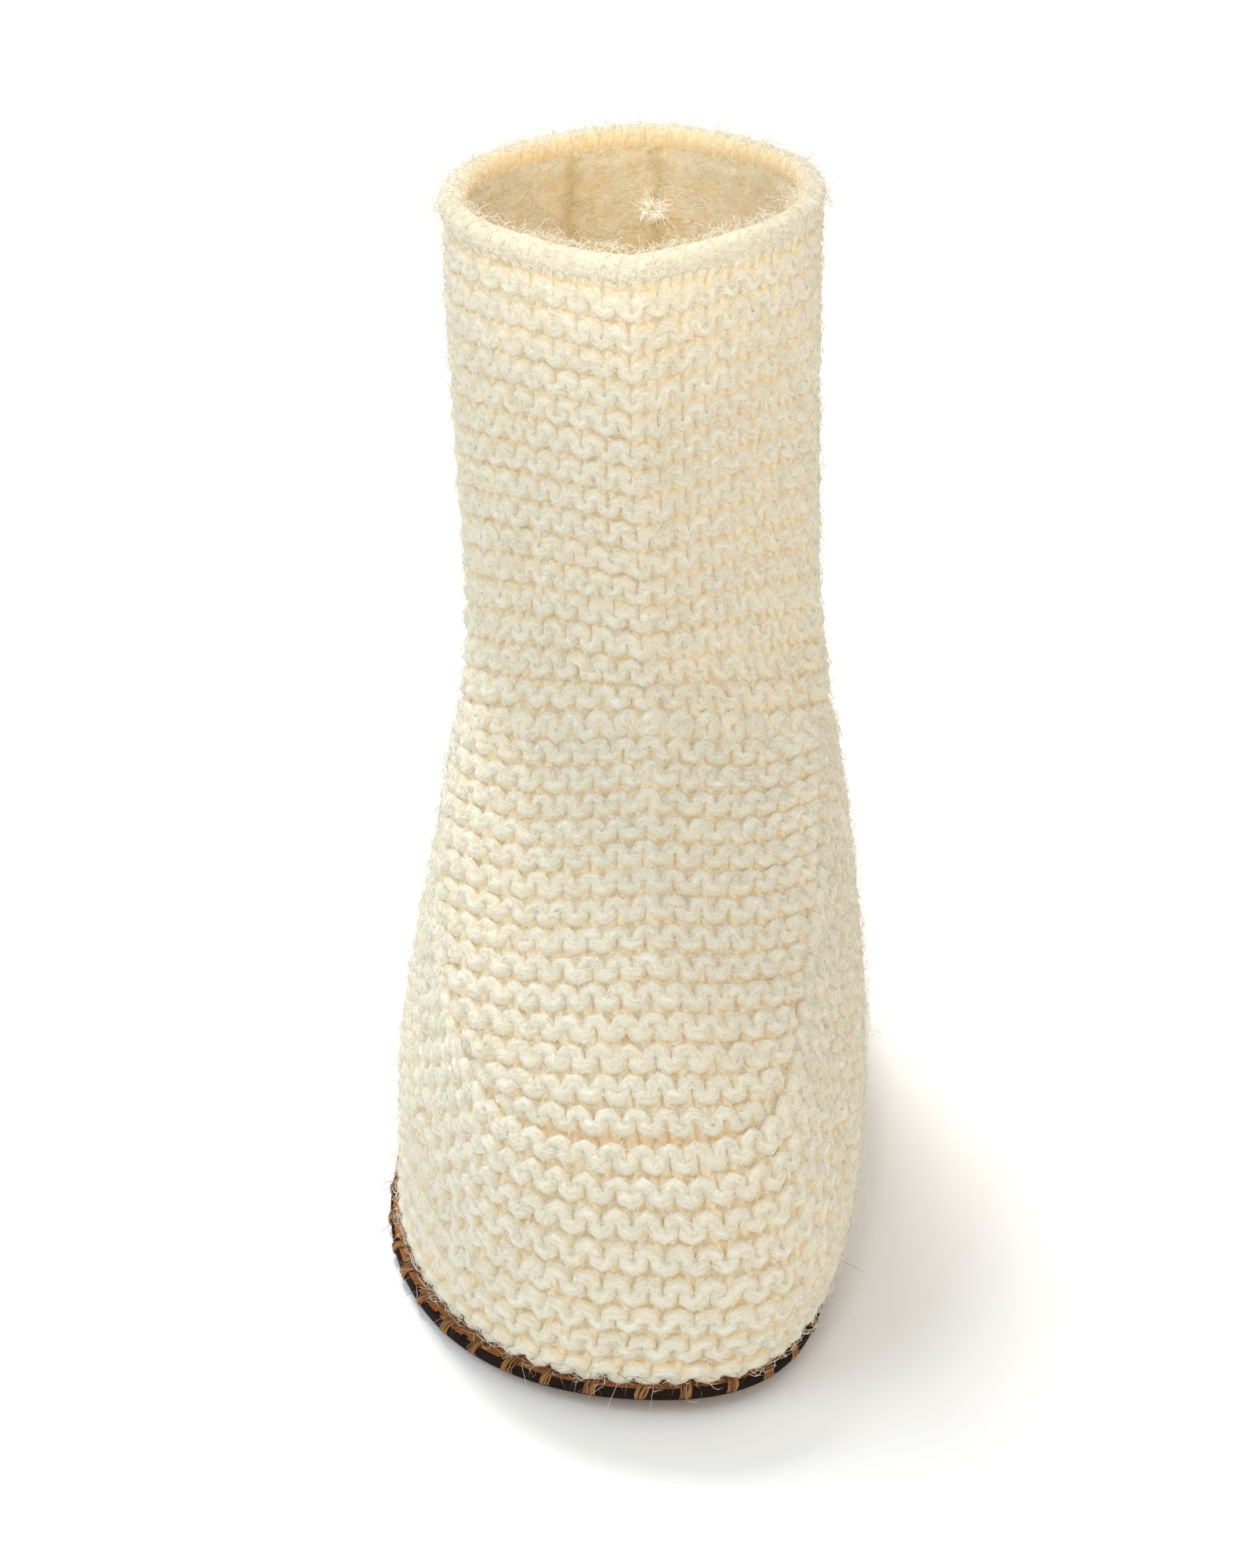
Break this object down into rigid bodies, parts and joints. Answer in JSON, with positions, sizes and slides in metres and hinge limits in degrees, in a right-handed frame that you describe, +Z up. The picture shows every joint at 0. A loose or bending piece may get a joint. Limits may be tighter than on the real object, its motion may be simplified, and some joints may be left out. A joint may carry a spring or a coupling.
{
  "type": "baby slipper",
  "caption": "Knitted wool baby slipper for the right foot, with a tall open shaft, a rounded instep flap and a hand-stitched leather sole.",
  "frame": {"origin": "under the middle of the shoe, on the floor that the sole stands on", "axes": "+Z up along the shaft, -Y towards the toe, +X towards the inner side of the right foot"},
  "size_m": [0.0656, 0.123, 0.1301],
  "materials": {
    "cream_wool": "thick hand-knitted garter stitch, slightly felted and hairy",
    "sole_leather": "tan nubuck on top, dark burnished edge and underside",
    "insole_felt": "pressed wool felt",
    "stitch_thread": "waxed tan yarn, several strands laid side by side"
  },
  "bodies": {
    "root": {"leather_sole": "sole_leather", "wool_insole": "insole_felt", "knit_upper": "cream_wool"}
  },
  "joints": []
}
